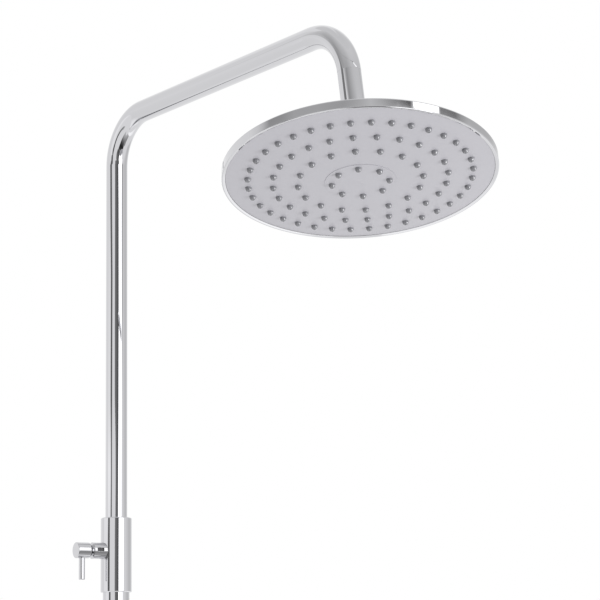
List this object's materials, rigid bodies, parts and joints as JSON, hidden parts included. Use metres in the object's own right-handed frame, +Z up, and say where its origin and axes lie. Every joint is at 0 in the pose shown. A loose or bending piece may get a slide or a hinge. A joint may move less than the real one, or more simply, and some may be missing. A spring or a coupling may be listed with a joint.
{
  "type": "shower column",
  "caption": "Wall-mounted shower column: rail, diverter with lever pin, bent riser and arm, and a large round overhead shower head on a ball joint.",
  "frame": {"origin": "centre of the wall inlet where its threaded nipple enters the wall surface", "axes": "+Z up along the column, +Y into the wall, the arm reaches out along -Y and the knob points to -X, turned 7 degrees towards the wall"},
  "size_m": [0.2461, 0.5898, 0.9471],
  "materials": {
    "chrome_metal": "polished chrome plating on brass",
    "chrome_abs": "bright chrome plating on ABS",
    "face_grey": "satin light grey ABS",
    "nozzle_silicone": "soft matt grey silicone",
    "brass": "turned brass",
    "steel": "plain stainless steel",
    "black_rubber": "smooth black rubber",
    "white_plastic": "moulded off-white plastic"
  },
  "bodies": {
    "column": {"wall_nipple": "brass", "nipple_o_rings": "black_rubber", "inlet_strainer": "steel", "inlet_body": "chrome_metal", "inlet_set_screw": "steel", "inlet_cover": "chrome_metal", "inlet_cover_gasket": "black_rubber", "rail_lower_o_ring": "black_rubber", "lower_rail": "chrome_metal", "hand_tube": "white_plastic", "hand_tube_o_rings": "black_rubber", "hose_outlet": "chrome_metal", "hose_outlet_o_ring": "black_rubber", "check_valve_case": "white_plastic", "check_valve_spring": "steel", "bracket_wall_plate": "steel", "bracket_arm": "chrome_metal", "bracket_liner": "black_rubber", "bracket_set_screw": "steel", "bracket_cover": "chrome_metal", "bracket_cover_gasket": "black_rubber", "diverter_body": "chrome_metal", "rail_upper_o_ring": "black_rubber", "rail_set_screw": "steel", "riser_set_screw": "steel", "diverter_cartridge": "brass", "cartridge_o_rings": "black_rubber", "diverter_bonnet": "chrome_metal", "bonnet_o_ring": "black_rubber", "spindle_o_ring": "black_rubber"},
    "lever": {"diverter_spindle": "brass", "diverter_knob": "chrome_metal", "lever_pin": "chrome_metal", "knob_set_screw": "steel"},
    "check_poppet": {"check_valve_poppet": "white_plastic"},
    "riser": {"riser_tube": "chrome_metal", "riser_ferrule": "brass", "riser_o_rings": "black_rubber", "arm_outlet": "brass", "arm_washer": "black_rubber", "ball_stem": "chrome_metal", "flow_regulator": "white_plastic"},
    "glide_ring": {"ball_glide_ring": "white_plastic"},
    "seat": {"ball_seat": "white_plastic"},
    "head": {"swivel_collar": "chrome_metal", "hub_washer": "black_rubber", "head_housing": "chrome_abs", "back_plate": "white_plastic", "neck_o_ring": "black_rubber", "nozzle_mat": "nozzle_silicone", "face_plate": "face_grey", "plate_screws": "steel"}
  },
  "joints": [
    {"name": "riser_swivel", "type": "hinge", "parent": "column", "child": "riser", "pos_m": [0, -0.06, 0.46], "axis": [0, 0, 1], "range_deg": [-75, 75]},
    {"name": "diverter_turn", "type": "hinge", "parent": "column", "child": "lever", "pos_m": [0, -0.06, 0.4415], "axis": [-0.9925, 0.1219, 0], "range_deg": [0, 180]},
    {"name": "check_valve_slide", "type": "slide", "parent": "column", "child": "check_poppet", "axis": [0, 0, -1], "range_m": [0, 0.002], "stiffness_N_per_m": 10, "springref_m": -0.004, "deforming": ["check_valve_spring"]},
    {"name": "head_azimuth", "type": "hinge", "parent": "riser", "child": "glide_ring", "pos_m": [0, -0.44892, 0.77416], "axis": [0, 0.1374, 0.9905], "continuous": true},
    {"name": "head_tilt", "type": "hinge", "parent": "glide_ring", "child": "seat", "pos_m": [0, -0.44892, 0.77416], "axis": [-0.4118, 0.9026, -0.1252], "range_deg": [-22.44, 7.56]},
    {"name": "head_spin", "type": "hinge", "parent": "seat", "child": "head", "pos_m": [0, -0.44892, 0.77416], "axis": [0.118, 0.1891, 0.9748], "continuous": true}
  ]
}
